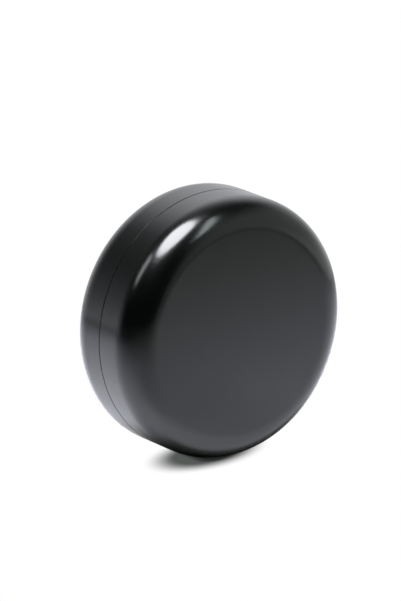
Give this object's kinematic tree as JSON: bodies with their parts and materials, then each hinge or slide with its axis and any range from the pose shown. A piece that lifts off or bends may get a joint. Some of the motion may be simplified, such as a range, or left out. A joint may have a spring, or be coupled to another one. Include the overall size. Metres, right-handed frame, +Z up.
{
  "type": "wet palette",
  "caption": "Round two-part case with a screw lid that keeps a damp sponge and palette paper moist for model painting.",
  "frame": {"origin": "centre of the foot ring's resting face", "axes": "+Z up along the case's axis, from the base to the lid"},
  "size_m": [0.11, 0.11, 0.045],
  "materials": {
    "case_black": "satin, very fine moulded grain",
    "liner_grey": "satin, smooth moulding",
    "foot_silicone": "matt silicone",
    "seal_silicone": "soft translucent silicone",
    "sponge_foam": "damp open-cell cellulose sponge",
    "paper": "damp translucent palette paper"
  },
  "bodies": {
    "base": {"base_shell": "case_black", "foot_ring": "foot_silicone", "water_tray": "liner_grey", "sponge": "sponge_foam", "palette_paper": "paper"},
    "neck_ring": {"neck_seal": "seal_silicone"},
    "lid_seal": {"rim_seal": "seal_silicone"},
    "lid": {"lid_liner": "liner_grey", "lid_shell": "case_black"}
  },
  "joints": [
    {"name": "lid_turn", "type": "hinge", "parent": "base", "child": "neck_ring", "pos_m": [0, 0, 0.02205], "axis": [0, 0, 1], "range_deg": [0, 120]},
    {"name": "lid_lift", "type": "slide", "parent": "neck_ring", "child": "lid_seal", "axis": [0, 0, 1], "range_m": [0, 0.045]},
    {"name": "lid_rise", "type": "slide", "parent": "lid_seal", "child": "lid", "axis": [0, 0, 1], "range_m": [0, 0.004]}
  ],
  "couplings": [
    {"joint": "lid_rise", "follows": "lid_turn", "m_per_rad": 0.0019099}
  ]
}
